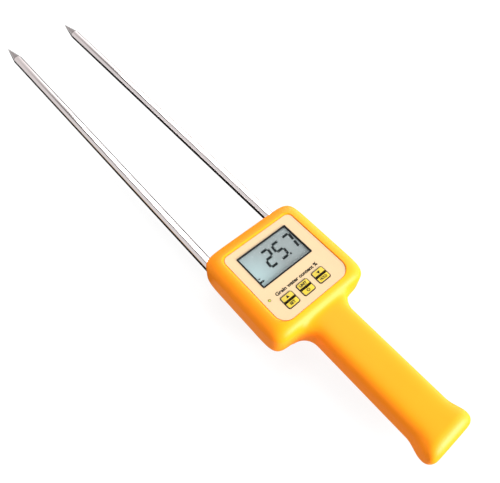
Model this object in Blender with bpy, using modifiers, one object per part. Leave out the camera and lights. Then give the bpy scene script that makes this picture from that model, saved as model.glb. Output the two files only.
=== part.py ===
"""Hand-held grain moisture meter with two steel probes, as separate parts that fit together.

Metres. +Y runs from the handle's end to the probe tips, +X is the reader's right, +Z comes out of the face.
The origin is on the surface that the meter's back rests on, at the middle of its length and width.
"""
import math

import bmesh
import bpy
from mathutils import Matrix, Vector

MM = 0.001

# Overall size
LENGTH = 465.0 * MM
HEAD_WIDTH = 75 * MM
HEAD_LENGTH = 72.4 * MM
DEPTH = 35 * MM
HANDLE_END_Y = -LENGTH / 2
TIP_Y = LENGTH / 2
DISPLAY_Y = HANDLE_END_Y + 140.2 * MM
DISPLAY_X = -0.6 * MM
HEAD_Y = DISPLAY_Y - 8.2 * MM
HEAD_TOP_Y = HEAD_Y + HEAD_LENGTH / 2
HEAD_FOOT_Y = HEAD_Y - HEAD_LENGTH / 2

# Housing
WALL = 2.2 * MM
GAP = 0.3 * MM
CORNER_POWER = 9.0
FACE_ROUND_IN = 9 * MM
FACE_ROUND_DROP = 8 * MM
BACK_ROUND_IN = 12 * MM
BACK_ROUND_RISE = 17 * MM
SEAM_Z = 12 * MM
CEILING_Z = DEPTH - WALL
FACE_Z = DEPTH - 0.1 * MM

# Handle
HANDLE_HALF = 14.2 * MM
HANDLE_TOP_Z = 30 * MM
HANDLE_FOOT_Z = 8 * MM
HANDLE_POWER = 4.0
FILLET = 11 * MM
FLARE = 3.2 * MM
FLARE_LENGTH = 13 * MM
END_ROUND_SIDE = 4 * MM
END_ROUND_TOP = 9 * MM

# Fascia, display and keys
RECESS_Z = 33.7 * MM
FASCIA_HALF = 27.9 * MM
FASCIA_TOP_Y = DISPLAY_Y + 18.8 * MM
FASCIA_FOOT_Y = DISPLAY_Y - 37.6 * MM
FASCIA_THICK = 0.5 * MM
FASCIA_RADII = (8 * MM, 8 * MM, 4 * MM, 4 * MM)
DISPLAY_SIZE = (40.1 * MM, 25.4 * MM)
FRAME_RIM = 0.8 * MM
KEY_PITCH = 12.7 * MM
KEY_X = DISPLAY_X - 0.5 * MM
KEY_Y = DISPLAY_Y - 28.1 * MM
KEY_SIZE = (8.7 * MM, 4.1 * MM)
KEY_SPLIT = 0.4 * MM
KEY_HOLE = (9.4 * MM, 9.2 * MM)
LAMP_PLACE = (DISPLAY_X - 22.8 * MM, DISPLAY_Y - 20.7 * MM)

# Board
BOARD_HALF = 25.5 * MM
BOARD_TOP_Y = DISPLAY_Y + 19.6 * MM
BOARD_FOOT_Y = DISPLAY_Y - 37.5 * MM
BOARD_Z = 26.1 * MM
BOARD_THICK = 1.6 * MM
BOARD_FACE_Z = BOARD_Z + BOARD_THICK
BOARD_SCREWS = [(x * MM, DISPLAY_Y + y * MM) for y in (17.0, -35.0) for x in (-20.6, 20.6)]
BOARD_SCREW_RADIUS = 0.7 * MM

# Probes
PROBE_X = 28.5 * MM
PROBE_Z = 10.5 * MM
PROBE_RADIUS = 3.8 * MM
PROBE_WALL = 0.5 * MM
CONE_LENGTH = 19 * MM
PROBE_INNER_Y = HEAD_TOP_Y - 15 * MM

# Battery and its bay
BAY_HALF = 14 * MM
BAY_FOOT_Y = HEAD_Y - 26.5 * MM
BAY_TOP_Y = BAY_FOOT_Y + 51.4 * MM
BAY_ROOF_Z = 21.6 * MM
BAY_WALL = 1.5 * MM
DOOR_THICK = 2.5 * MM
DOOR_MARGIN = 1.1 * MM
LEAD_Y = BAY_TOP_Y - 1.4 * MM
BATTERY = (26.5 * MM, 46.4 * MM, 17.5 * MM)

# Housing screws: place and the height of the seat under the head
SCREW_RADIUS = 1.3 * MM
SCREW_HEAD = 2.7 * MM
SCREW_LENGTH = 14 * MM
HEAD_SEAT_Z = 5 * MM
HANDLE_SEAT_Z = 10.6 * MM
HOUSING_SCREWS = [
    (-27 * MM, HEAD_Y + 7 * MM, HEAD_SEAT_Z),
    (27 * MM, HEAD_Y + 7 * MM, HEAD_SEAT_Z),
    (-27 * MM, HEAD_Y - 22.5 * MM, HEAD_SEAT_Z),
    (27 * MM, HEAD_Y - 22.5 * MM, HEAD_SEAT_Z),
    (0, HEAD_FOOT_Y - 25 * MM, HANDLE_SEAT_Z),
    (0, HANDLE_END_Y + 20 * MM, HANDLE_SEAT_Z),
]

for old in list(bpy.data.objects):
    bpy.data.objects.remove(old, do_unlink=True)

PARTS = bpy.data.collections.new("grain_moisture_meter")
CUTTERS = bpy.data.collections.new("cutters")
bpy.context.scene.collection.children.link(PARTS)
bpy.context.scene.collection.children.link(CUTTERS)


def finish(name, colour, roughness, metallic=0.0):
    material = bpy.data.materials.new(name)
    material.use_nodes = True
    shader = material.node_tree.nodes["Principled BSDF"]
    shader.inputs["Base Color"].default_value = (*colour, 1.0)
    shader.inputs["Roughness"].default_value = roughness
    shader.inputs["Metallic"].default_value = metallic
    material.diffuse_color = (*colour, 1.0)
    return material


ORANGE = finish("orange_plastic", (0.93, 0.42, 0.02), 0.38)
CREAM = finish("cream_print", (0.98, 0.80, 0.52), 0.5)
BLACK = finish("black_plastic", (0.02, 0.02, 0.02), 0.45)
CLEAR = finish("clear_plastic", (0.85, 0.9, 0.88), 0.08)
DISPLAY = finish("display_glass", (0.5, 0.56, 0.55), 0.15)
WHITE = finish("white_plastic", (0.85, 0.85, 0.82), 0.5)
RUBBER = finish("contact_rubber", (0.12, 0.12, 0.13), 0.7)
BOARD_GREEN = finish("board_green", (0.02, 0.22, 0.08), 0.4)
YELLOW = finish("yellow_key", (0.86, 0.66, 0.03), 0.4)
STEEL = finish("probe_steel", (0.75, 0.74, 0.73), 0.18, 1.0)
SCREW_STEEL = finish("screw_steel", (0.55, 0.55, 0.56), 0.35, 1.0)
BRASS = finish("tinned_brass", (0.75, 0.68, 0.5), 0.35, 1.0)
OLIVE = finish("lamp_lens", (0.45, 0.45, 0.05), 0.25)
BATTERY_WRAP = finish("battery_wrap", (0.05, 0.07, 0.12), 0.3)
FOAM = finish("foam_pad", (0.1, 0.1, 0.1), 0.95)
RED_WIRE = finish("red_wire", (0.6, 0.03, 0.02), 0.45)
BLACK_WIRE = finish("black_wire", (0.02, 0.02, 0.02), 0.45)


def link(name, mesh, material=None):
    """A part with a material goes with the parts, and a shape without one is a cutter."""
    thing = bpy.data.objects.new(name, mesh)
    if material:
        PARTS.objects.link(thing)
        mesh.materials.append(material)
    else:
        CUTTERS.objects.link(thing)
        thing.hide_render = True
        thing.display_type = "WIRE"
    return thing


def from_bmesh(name, form, material=None, smooth=False):
    mesh = bpy.data.meshes.new(name)
    form.to_mesh(mesh)
    form.free()
    if smooth:
        mesh.shade_smooth()
        mesh.set_sharp_from_angle(angle=math.radians(35))
    return link(name, mesh, material)


def block(name, low, high, material=None):
    form = bmesh.new()
    bmesh.ops.create_cube(form, size=1.0)
    low = Vector(low)
    high = Vector(high)
    bmesh.ops.scale(form, vec=high - low, verts=form.verts)
    bmesh.ops.translate(form, vec=(low + high) / 2, verts=form.verts)
    return from_bmesh(name, form, material)


def rod(name, radius, start, end, material=None, segments=20):
    """A round bar from one point to another."""
    start = Vector(start)
    end = Vector(end)
    along = end - start
    turn = Vector((0, 0, 1)).rotation_difference(along).to_matrix().to_4x4()
    place = Matrix.Translation((start + end) / 2) @ turn
    form = bmesh.new()
    bmesh.ops.create_cone(form, cap_ends=True, segments=segments, radius1=radius, radius2=radius,
                          depth=along.length, matrix=place)
    return from_bmesh(name, form, material, smooth=True)


def turned(name, profile, place, material=None, segments=24):
    """A profile of (radius, height) from top to bottom, spun about the local Z axis."""
    form = bmesh.new()
    corners = [form.verts.new((radius, 0, height)) for radius, height in profile]
    for upper, lower in zip(corners, corners[1:]):
        form.edges.new((upper, lower))
    part = from_bmesh(name, form, material)
    part.matrix_world = place
    spin = part.modifiers.new("spin", "SCREW")
    spin.axis = "Z"
    spin.steps = segments
    spin.render_steps = segments
    spin.use_merge_vertices = True
    spin.merge_threshold = 0.00001
    return part


def plate(name, outline, low_z, high_z, material=None):
    """A flat outline, filled and given its thickness."""
    flat = bpy.data.curves.new(name, "CURVE")
    flat.dimensions = "2D"
    flat.fill_mode = "BOTH"
    flat.extrude = (high_z - low_z) / 2
    line = flat.splines.new("POLY")
    line.points.add(len(outline) - 1)
    for point, (x, y) in zip(line.points, outline):
        point.co = (x, y, 0, 1)
    line.use_cyclic_u = True
    guide = bpy.data.objects.new(name + "_outline", flat)
    guide.location = (0, 0, (low_z + high_z) / 2)
    CUTTERS.objects.link(guide)
    bpy.context.view_layer.update()
    solid = bpy.data.meshes.new_from_object(guide.evaluated_get(bpy.context.evaluated_depsgraph_get()))
    form = bmesh.new()
    form.from_mesh(solid)
    bmesh.ops.remove_doubles(form, verts=form.verts, dist=0.00001)
    bmesh.ops.translate(form, vec=guide.location, verts=form.verts)
    bpy.data.objects.remove(guide, do_unlink=True)
    return from_bmesh(name, form, material)


def wire(name, start, end, radius, material):
    """A short lead that leaves both its ends upright and bends over smoothly between them."""
    lead = bpy.data.curves.new(name, "CURVE")
    lead.dimensions = "3D"
    lead.bevel_depth = radius
    lead.bevel_resolution = 2
    lead.use_fill_caps = True
    steps = 12
    line = lead.splines.new("POLY")
    line.points.add(steps)
    pull = Vector((0, 0, (end.z - start.z) * 0.45))
    for index, point in enumerate(line.points):
        t = index / steps
        s = 1 - t
        spot = s ** 3 * start + 3 * s * s * t * (start + pull) + 3 * s * t * t * (end - pull) + t ** 3 * end
        point.co = (*spot, 1)
    lead.materials.append(material)
    part = bpy.data.objects.new(name, lead)
    PARTS.objects.link(part)
    return part


def combine(part, operation, *tools):
    for tool in tools:
        step = part.modifiers.new(operation.lower(), "BOOLEAN")
        step.operation = operation
        step.solver = "EXACT"
        step.object = tool
    return part


def cut(part, *tools):
    return combine(part, "DIFFERENCE", *tools)


def join(part, *tools):
    return combine(part, "UNION", *tools)


def rounded_box(centre, size, radii, steps=4):
    """Outline of a rectangle whose four corners, from the lower left round, have their own radii."""
    half_x = size[0] / 2
    half_y = size[1] / 2
    outline = []
    corners = ((-1, -1, 180), (1, -1, 270), (1, 1, 0), (-1, 1, 90))
    for (side_x, side_y, begin), radius in zip(corners, radii):
        hub_x = centre[0] + side_x * (half_x - radius)
        hub_y = centre[1] + side_y * (half_y - radius)
        for step in range(steps + 1):
            angle = math.radians(begin + 90 * step / steps)
            outline.append((hub_x + radius * math.cos(angle), hub_y + radius * math.sin(angle)))
    return outline


def squircle(half_a, half_b, power, count):
    """Points of a superellipse, a rectangle with soft corners and slightly bowed sides."""
    points = []
    for index in range(count):
        angle = 2 * math.pi * index / count
        a = math.copysign(abs(math.cos(angle)) ** (2 / power), math.cos(angle))
        b = math.copysign(abs(math.sin(angle)) ** (2 / power), math.sin(angle))
        points.append((half_a * a, half_b * b))
    return points


def loft(name, rings, material=None):
    """A closed body through rings of equal point counts, closed by a flat face at each end."""
    form = bmesh.new()
    loops = [[form.verts.new(point) for point in ring] for ring in rings]
    count = len(loops[0])
    for lower, upper in zip(loops, loops[1:]):
        for index in range(count):
            after = (index + 1) % count
            form.faces.new((lower[index], lower[after], upper[after], upper[index]))
    form.faces.new(reversed(loops[0]))
    form.faces.new(loops[-1])
    bmesh.ops.recalc_face_normals(form, faces=form.faces)
    return from_bmesh(name, form, material, smooth=True)


# Head and handle forms, shared by both housings, their cavity and the battery door

def head_form(name, inset, material=None):
    """The head's rounded slab, drawn in by inset on every side."""
    rings = []
    arc_steps = 5
    levels = []
    rise = BACK_ROUND_RISE - inset
    drop = FACE_ROUND_DROP - inset * 0.5
    for step in range(arc_steps, -1, -1):
        angle = math.radians(90 * step / arc_steps)
        levels.append((BACK_ROUND_IN * (1 - math.cos(angle)), BACK_ROUND_RISE - rise * math.sin(angle)))
    for step in range(arc_steps + 1):
        angle = math.radians(90 * step / arc_steps)
        levels.append((FACE_ROUND_IN * (1 - math.cos(angle)), DEPTH - inset - drop * (1 - math.sin(angle))))
    for draw_in, z in levels:
        half_x = HEAD_WIDTH / 2 - inset - draw_in
        half_y = HEAD_LENGTH / 2 - inset - draw_in
        rings.append([(x, HEAD_Y + y, z) for x, y in squircle(half_x, half_y, CORNER_POWER, 44)])
    return loft(name, rings, material)


def handle_half_width(y):
    """Half the handle's width: wide where it grows out of the head, straight, then flared at its end."""
    from_head = HEAD_FOOT_Y - y
    if from_head < FILLET:
        depth = min(FILLET, FILLET - from_head)
        return HANDLE_HALF + FILLET - math.sqrt(FILLET ** 2 - depth ** 2)
    to_flare = y - HANDLE_END_Y - END_ROUND_TOP / 2
    t = min(1, max(0, 1 - to_flare / FLARE_LENGTH))
    return HANDLE_HALF + FLARE * t * t * (3 - 2 * t)


def handle_form(name, inset, material=None):
    stations = [HEAD_FOOT_Y + 14 * MM]
    stations += [HEAD_FOOT_Y - FILLET * step / 5 for step in range(6)]
    stations += [HANDLE_END_Y + END_ROUND_TOP + FLARE_LENGTH * (1 - step / 4) for step in range(4)]
    middle = (HANDLE_TOP_Z + HANDLE_FOOT_Z) / 2
    half_z = (HANDLE_TOP_Z - HANDLE_FOOT_Z) / 2
    sections = [(y, handle_half_width(y), 0, 1) for y in stations]
    for step in range(7):
        angle = math.radians(90 * step / 6)
        y = HANDLE_END_Y + END_ROUND_TOP * (1 - math.sin(angle))
        side_angle = math.asin(min(1, max(0, (HANDLE_END_Y + END_ROUND_SIDE - y) / END_ROUND_SIDE)))
        side_in = END_ROUND_SIDE * (1 - math.cos(side_angle))
        height_share = 1 - END_ROUND_TOP / half_z * (1 - math.cos(angle))
        sections.append((y, handle_half_width(y), side_in, height_share))
    rings = []
    for y, half_x, side_in, height_share in sections:
        outline = squircle(half_x - inset - side_in, (half_z - inset) * height_share, HANDLE_POWER, 32)
        y_in = y + inset if y < HEAD_FOOT_Y - FILLET else y
        rings.append([(x, y_in, middle + z) for x, z in outline])
    return loft(name, rings, material)


head_cavity = head_form("head_cavity", WALL)
handle_cavity = handle_form("handle_cavity", WALL)
handle_outer = handle_form("handle_outer", 0)

reach = 300 * MM
below_seam = block("below_seam", (-reach, -reach, -reach), (reach, reach, SEAM_Z + GAP / 2))
above_seam = block("above_seam", (-reach, -reach, SEAM_Z - GAP / 2), (reach, reach, reach))

probe_bores = []
for side in (-1, 1):
    inner_end = (side * PROBE_X, PROBE_INNER_Y - 7 * MM, PROBE_Z)
    outer_end = (side * PROBE_X, HEAD_TOP_Y + 8 * MM, PROBE_Z)
    probe_bores.append(rod(f"probe_bore_{side}", PROBE_RADIUS + GAP, inner_end, outer_end, segments=24))

# Openings that the fascia and the front housing share
display_hole = plate("display_hole", rounded_box((DISPLAY_X, DISPLAY_Y),
                     (DISPLAY_SIZE[0] + 2 * GAP, DISPLAY_SIZE[1] + 2 * GAP), (0.9 * MM,) * 4, 2),
                     CEILING_Z - 2 * MM, DEPTH + 2 * MM)
key_holes = []
for column in (-1, 0, 1):
    outline = rounded_box((KEY_X + column * KEY_PITCH, KEY_Y), KEY_HOLE, (1.5 * MM,) * 4, 3)
    key_holes.append(plate(f"key_hole_{column}", outline, CEILING_Z - 2 * MM, DEPTH + 2 * MM))
lamp_hole = rod("lamp_hole", 1.1 * MM, (*LAMP_PLACE, CEILING_Z - 2 * MM), (*LAMP_PLACE, DEPTH + 2 * MM),
                segments=16)


def front_housing():
    part = head_form("front_housing", 0, ORANGE)
    join(part, handle_outer)
    cut(part, head_cavity, handle_cavity, below_seam)
    for number, (x, y, seat_z) in enumerate(HOUSING_SCREWS):
        roof_z = CEILING_Z + 1 * MM if y > HEAD_FOOT_Y else HANDLE_TOP_Z - 1 * MM
        base = (x, y, SEAM_Z + GAP / 2)
        join(part, rod(f"front_boss_{number}", 3.2 * MM, base, (x, y, roof_z), segments=18))
        pilot_top = seat_z + SCREW_LENGTH + 1 * MM
        cut(part, rod(f"front_pilot_{number}", SCREW_RADIUS + GAP, (x, y, SEAM_Z - 2 * MM), (x, y, pilot_top),
                      segments=12))
    for number, (x, y) in enumerate(BOARD_SCREWS):
        base = (x, y, BOARD_FACE_Z + GAP)
        join(part, rod(f"board_boss_{number}", 1.9 * MM, base, (x, y, CEILING_Z + 1 * MM), segments=14))
        pilot_top = (x, y, CEILING_Z - 0.8 * MM)
        cut(part, rod(f"board_pilot_{number}", BOARD_SCREW_RADIUS + GAP, (x, y, BOARD_Z), pilot_top,
                      segments=10))
    centre = (0, (FASCIA_TOP_Y + FASCIA_FOOT_Y) / 2)
    size = (2 * FASCIA_HALF + 2 * GAP, FASCIA_TOP_Y - FASCIA_FOOT_Y + 2 * GAP)
    radii = [radius + GAP for radius in FASCIA_RADII]
    recess = plate("fascia_recess", rounded_box(centre, size, radii, 6), RECESS_Z, DEPTH + 2 * MM)
    cut(part, recess, display_hole, *key_holes, lamp_hole, *probe_bores)
    return part


def rear_housing():
    part = head_form("rear_housing", 0, ORANGE)
    join(part, handle_outer)
    cut(part, head_cavity, handle_cavity, above_seam)
    bay_low = (-BAY_HALF - BAY_WALL, BAY_FOOT_Y - BAY_WALL, WALL - 0.7 * MM)
    bay_high = (BAY_HALF + BAY_WALL, BAY_TOP_Y + BAY_WALL, BAY_ROOF_Z + BAY_WALL)
    join(part, block("bay_block", bay_low, bay_high))
    for number, (x, y, seat_z) in enumerate(HOUSING_SCREWS):
        in_head = y > HEAD_FOOT_Y
        base_z = 0.3 * MM if in_head else HANDLE_FOOT_Z + 1.2 * MM
        boss = rod(f"rear_boss_{number}", 4.6 * MM, (x, y, base_z), (x, y, SEAM_Z - GAP / 2), segments=20)
        if in_head:
            combine(boss, "INTERSECT", boss_space)
        join(part, boss)
        cut(part, rod(f"counterbore_{number}", SCREW_HEAD + 0.4 * MM, (x, y, -2 * MM), (x, y, seat_z + GAP),
                      segments=18))
        cut(part, rod(f"rear_pilot_{number}", SCREW_RADIUS + GAP, (x, y, 0), (x, y, SEAM_Z + 2 * MM),
                      segments=12))
    cut(part, block("bay_hollow", (-BAY_HALF, BAY_FOOT_Y, DOOR_THICK - 1 * MM),
                    (BAY_HALF, BAY_TOP_Y, BAY_ROOF_Z)))
    door_half = BAY_HALF + DOOR_MARGIN + GAP
    door_size = (2 * door_half, BAY_TOP_Y - BAY_FOOT_Y + 2 * DOOR_MARGIN - 1 * MM)
    door_centre = (0, (BAY_TOP_Y + BAY_FOOT_Y) / 2)
    cut(part, plate("door_opening", rounded_box(door_centre, door_size, (2.3 * MM,) * 4, 4), -5 * MM,
                    DOOR_THICK + GAP))
    for side in (-1, 1):
        x = side * 4 * MM
        cut(part, rod(f"lead_hole_{side}", 1.3 * MM, (x, LEAD_Y, BAY_ROOF_Z - 3 * MM),
                      (x, LEAD_Y, BAY_ROOF_Z + 5 * MM), segments=12))
    cut(part, *probe_bores)
    return part


def battery_door():
    """The part of the head's back that lifts off, with grooves that give the thumb a hold."""
    part = head_form("battery_door", 0, ORANGE)
    size = (2 * (BAY_HALF + DOOR_MARGIN), BAY_TOP_Y - BAY_FOOT_Y + 2 * DOOR_MARGIN - 1 * MM - 2 * GAP)
    centre = (0, (BAY_TOP_Y + BAY_FOOT_Y) / 2)
    keep = plate("door_outline", rounded_box(centre, size, (2 * MM,) * 4, 4), -5 * MM, DOOR_THICK)
    combine(part, "INTERSECT", keep)
    for row in range(5):
        y = BAY_FOOT_Y + (9 + 2.2 * row) * MM
        cut(part, block(f"grip_groove_{row}", (-7 * MM, y, -1 * MM), (7 * MM, y + 1.1 * MM, 0.5 * MM)))
    return part


def fascia():
    centre = (0, (FASCIA_TOP_Y + FASCIA_FOOT_Y) / 2)
    size = (2 * FASCIA_HALF, FASCIA_TOP_Y - FASCIA_FOOT_Y)
    base_z = RECESS_Z + GAP
    outline = rounded_box(centre, size, FASCIA_RADII, 6)
    part = plate("fascia_panel", outline, base_z, base_z + FASCIA_THICK, CREAM)
    cut(part, display_hole, *key_holes, lamp_hole)
    return part


def display_stack():
    """From the face down: frame, window, glass cell in its holder, reflector and the two contact strips."""
    centre = (DISPLAY_X, DISPLAY_Y)
    inner = (DISPLAY_SIZE[0] - 2 * FRAME_RIM, DISPLAY_SIZE[1] - 2 * FRAME_RIM)
    glass_low = 29.4 * MM
    glass_high = 32 * MM
    frame = plate("display_frame", rounded_box(centre, DISPLAY_SIZE, (0.6 * MM,) * 4, 2),
                  glass_high + GAP, FACE_Z, BLACK)
    cut(frame, plate("frame_opening", rounded_box(centre, inner, (0.3 * MM,) * 4, 2),
                     glass_low, DEPTH + 2 * MM))
    clear = (inner[0] - 2 * GAP, inner[1] - 2 * GAP)
    window_low = 33.5 * MM
    plate("display_window", rounded_box(centre, clear, (0.2 * MM,) * 4, 2),
          window_low, window_low + 1 * MM, CLEAR)
    x, y = centre
    glass_x = 20.7 * MM
    glass_y = 12.9 * MM
    block("lcd_glass", (x - glass_x, y - glass_y, glass_low), (x + glass_x, y + glass_y, glass_high), DISPLAY)
    rim = 1.1 * MM
    low_z = BOARD_FACE_Z + GAP
    room_x = glass_x + GAP
    room_y = glass_y + GAP
    holder = block("lcd_holder", (x - room_x - rim, y - room_y - rim, low_z),
                   (x + room_x + rim, y + room_y + rim, glass_high), WHITE)
    cut(holder, block("holder_opening", (x - room_x, y - room_y, low_z - 2 * MM),
                      (x + room_x, y + room_y, glass_high + 2 * MM)))
    block("lcd_reflector", (x - 19 * MM, y - 10.2 * MM, glass_low - 0.8 * MM),
          (x + 19 * MM, y + 10.2 * MM, glass_low - GAP), WHITE)
    for side, word in ((-1, "lower"), (1, "upper")):
        middle = y + side * 11.7 * MM
        block(f"contact_strip_{word}", (x - 19.5 * MM, middle - 0.9 * MM, low_z),
              (x + 19.5 * MM, middle + 0.9 * MM, glass_low - GAP), RUBBER)


def board():
    centre = (0, (BOARD_TOP_Y + BOARD_FOOT_Y) / 2)
    size = (2 * BOARD_HALF, BOARD_TOP_Y - BOARD_FOOT_Y)
    outline = rounded_box(centre, size, (1.5 * MM,) * 4, 2)
    part = plate("circuit_board", outline, BOARD_Z, BOARD_FACE_Z, BOARD_GREEN)
    for number, (x, y) in enumerate(BOARD_SCREWS):
        cut(part, rod(f"board_hole_{number}", 1.2 * MM, (x, y, 20 * MM), (x, y, 35 * MM), segments=12))
    for number, (x, y, _) in enumerate(HOUSING_SCREWS[:4]):
        cut(part, rod(f"boss_notch_{number}", 3.6 * MM, (x, y, 20 * MM), (x, y, 35 * MM), segments=18))
    under = BOARD_Z - GAP
    block("controller_chip", (-5 * MM, HEAD_Y, under - 1.6 * MM), (5 * MM, HEAD_Y + 10 * MM, under), BLACK)
    block("crystal", (-22.7 * MM, HEAD_Y - 6 * MM, under - 3.5 * MM), (-18.2 * MM, HEAD_Y + 5 * MM, under),
          SCREW_STEEL)
    capacitor_x = 20.5 * MM
    rod("capacitor", 2 * MM, (capacitor_x, HEAD_Y, under - 6 * MM), (capacitor_x, HEAD_Y, under),
        BATTERY_WRAP, 16)
    for number, (x, y) in enumerate(BOARD_SCREWS):
        seat = Matrix.Translation((x, y, under))
        screw(f"board_screw_{number + 1}", seat, BOARD_SCREW_RADIUS, 1.6 * MM, 1.4 * MM, 5 * MM)


def screw(name, seat, radius, head_radius, head_height, length):
    """A pan-head screw along the seat's +Z, with the underside of its head at the seat."""
    profile = [(0, length), (radius * 0.6, length), (radius, length - radius), (radius, 0), (head_radius, 0),
               (head_radius, -head_height * 0.6), (head_radius * 0.7, -head_height), (0, -head_height)]
    return turned(name, profile, seat, SCREW_STEEL, 14)


KEY_NAMES = {(-1, 1): "up", (0, 1): "unit", (1, 1): "down",
             (-1, -1): "set", (0, -1): "power", (1, -1): "hold"}
SWITCH_Z = BOARD_FACE_Z + GAP
SWITCH_HEIGHT = 1.8 * MM
STEM_FOOT_Z = SWITCH_Z + 1 * MM
FLANGE_Z = CEILING_Z - 0.5 * MM
FLANGE_THICK = 0.9 * MM
FLANGE_REACH = 0.9 * MM


def keys():
    """Six caps in three pairs. Each has a flange that keeps it in and a stem that enters its switch."""
    for (column, row), word in KEY_NAMES.items():
        x = KEY_X + column * KEY_PITCH
        y = KEY_Y + row * (KEY_SIZE[1] + KEY_SPLIT) / 2
        near = 0.3 * MM
        far = 1.3 * MM
        radii = (far, far, near, near) if row < 0 else (near, near, far, far)
        buried_z = FLANGE_Z - FLANGE_THICK / 2
        cap = plate(f"key_{word}", rounded_box((x, y), KEY_SIZE, radii, 3), buried_z, DEPTH, YELLOW)
        flange_x = KEY_SIZE[0] / 2 + FLANGE_REACH
        flange_y = KEY_SIZE[1] / 2 - 0.1 * MM
        join(cap, block(f"flange_{word}", (x - flange_x, y - flange_y, FLANGE_Z - FLANGE_THICK),
                        (x + flange_x, y + flange_y, FLANGE_Z)))
        join(cap, rod(f"stem_{word}", 0.8 * MM, (x, y, STEM_FOOT_Z), (x, y, buried_z), segments=12))
        switch = block(f"switch_{word}", (x - 2.5 * MM, y - 1.8 * MM, SWITCH_Z),
                       (x + 2.5 * MM, y + 1.8 * MM, SWITCH_Z + SWITCH_HEIGHT), BLACK)
        cut(switch, rod(f"switch_well_{word}", 1.1 * MM, (x, y, SWITCH_Z + GAP), (x, y, SWITCH_Z + 4 * MM),
                        segments=12))


def lamp():
    x, y = LAMP_PLACE
    rod("status_led", 1.5 * MM, (x, y, BOARD_FACE_Z + GAP), (x, y, CEILING_Z - GAP), CLEAR, segments=16)
    radius = 0.8 * MM
    foot = -1.2 * MM
    profile = [(0, 0.9 * MM), (0.45 * MM, 0.8 * MM), (radius, 0.5 * MM), (radius, foot), (0, foot)]
    turned("indicator_lens", profile, Matrix.Translation((x, y, RECESS_Z)), OLIVE, 16)


def probes():
    inner = PROBE_RADIUS - PROBE_WALL
    cone_y = TIP_Y - CONE_LENGTH
    for side, word in ((-1, "left"), (1, "right")):
        x = side * PROBE_X
        along = Matrix.Translation((x, 0, PROBE_Z)) @ Matrix.Rotation(math.radians(-90), 4, "X")
        tube = [(inner, cone_y - GAP), (PROBE_RADIUS, cone_y - GAP), (PROBE_RADIUS, PROBE_INNER_Y),
                (inner, PROBE_INNER_Y), (inner, cone_y - GAP)]
        turned(f"probe_{word}", tube, along, STEEL, 28)
        shank = inner - GAP
        tip = [(0, TIP_Y), (0.25 * MM, TIP_Y - 0.1 * MM), (PROBE_RADIUS, cone_y), (shank, cone_y),
               (shank, cone_y - 8 * MM), (0, cone_y - 8 * MM)]
        turned(f"probe_tip_{word}", tip, along, STEEL, 28)
        face_y = PROBE_INNER_Y - GAP
        bore = 1.5 * MM
        far_y = face_y + 7 * MM
        near_y = face_y - 1.5 * MM
        plug = [(bore, far_y), (shank, far_y), (shank, face_y), (PROBE_RADIUS, face_y),
                (PROBE_RADIUS, near_y), (bore, near_y), (bore, far_y)]
        turned(f"probe_plug_{word}", plug, along, BRASS, 24)
        holder = block(f"probe_holder_{word}", (min(side * 22, side * 36) * MM, HEAD_TOP_Y - 13 * MM, 4 * MM),
                       (max(side * 22, side * 36) * MM, HEAD_TOP_Y - 3.8 * MM, 17 * MM), WHITE)
        combine(holder, "INTERSECT", holder_space)
        cut(holder, rod(f"holder_bore_{word}", PROBE_RADIUS + GAP, (x, HEAD_TOP_Y - 25 * MM, PROBE_Z),
                        (x, HEAD_TOP_Y, PROBE_Z), segments=24))
        ring_y = near_y - GAP
        middle_y = ring_y - 0.35 * MM
        ring = rod(f"ring_terminal_{word}", 3.4 * MM, (x, ring_y - 0.7 * MM, PROBE_Z),
                   (x, ring_y, PROBE_Z), BRASS)
        tail = block(f"terminal_tail_{word}", (x - 1.2 * MM, middle_y - 0.25 * MM, PROBE_Z + 2.6 * MM),
                     (x + 1.2 * MM, middle_y + 0.25 * MM, PROBE_Z + 8 * MM))
        barrel_z = PROBE_Z + 11 * MM
        barrel = rod(f"terminal_barrel_{word}", 1.3 * MM, (x, middle_y, PROBE_Z + 7 * MM),
                     (x, middle_y, barrel_z), segments=12)
        hole = rod(f"terminal_hole_{word}", bore, (x, ring_y - 5 * MM, PROBE_Z),
                   (x, ring_y + 5 * MM, PROBE_Z), segments=14)
        cut(join(ring, tail, barrel), hole)
        seat = along @ Matrix.Translation((0, 0, ring_y - 0.7 * MM - GAP))
        screw(f"terminal_screw_{word}", seat, 1.15 * MM, 2.6 * MM, 1.8 * MM, 8 * MM)
        start = Vector((x, middle_y, barrel_z + GAP))
        end = Vector((side * 23.2 * MM, ring_y - 3 * MM, BOARD_Z - GAP))
        wire(f"probe_lead_{word}", start, end, 0.6 * MM, BLACK_WIRE)


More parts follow.
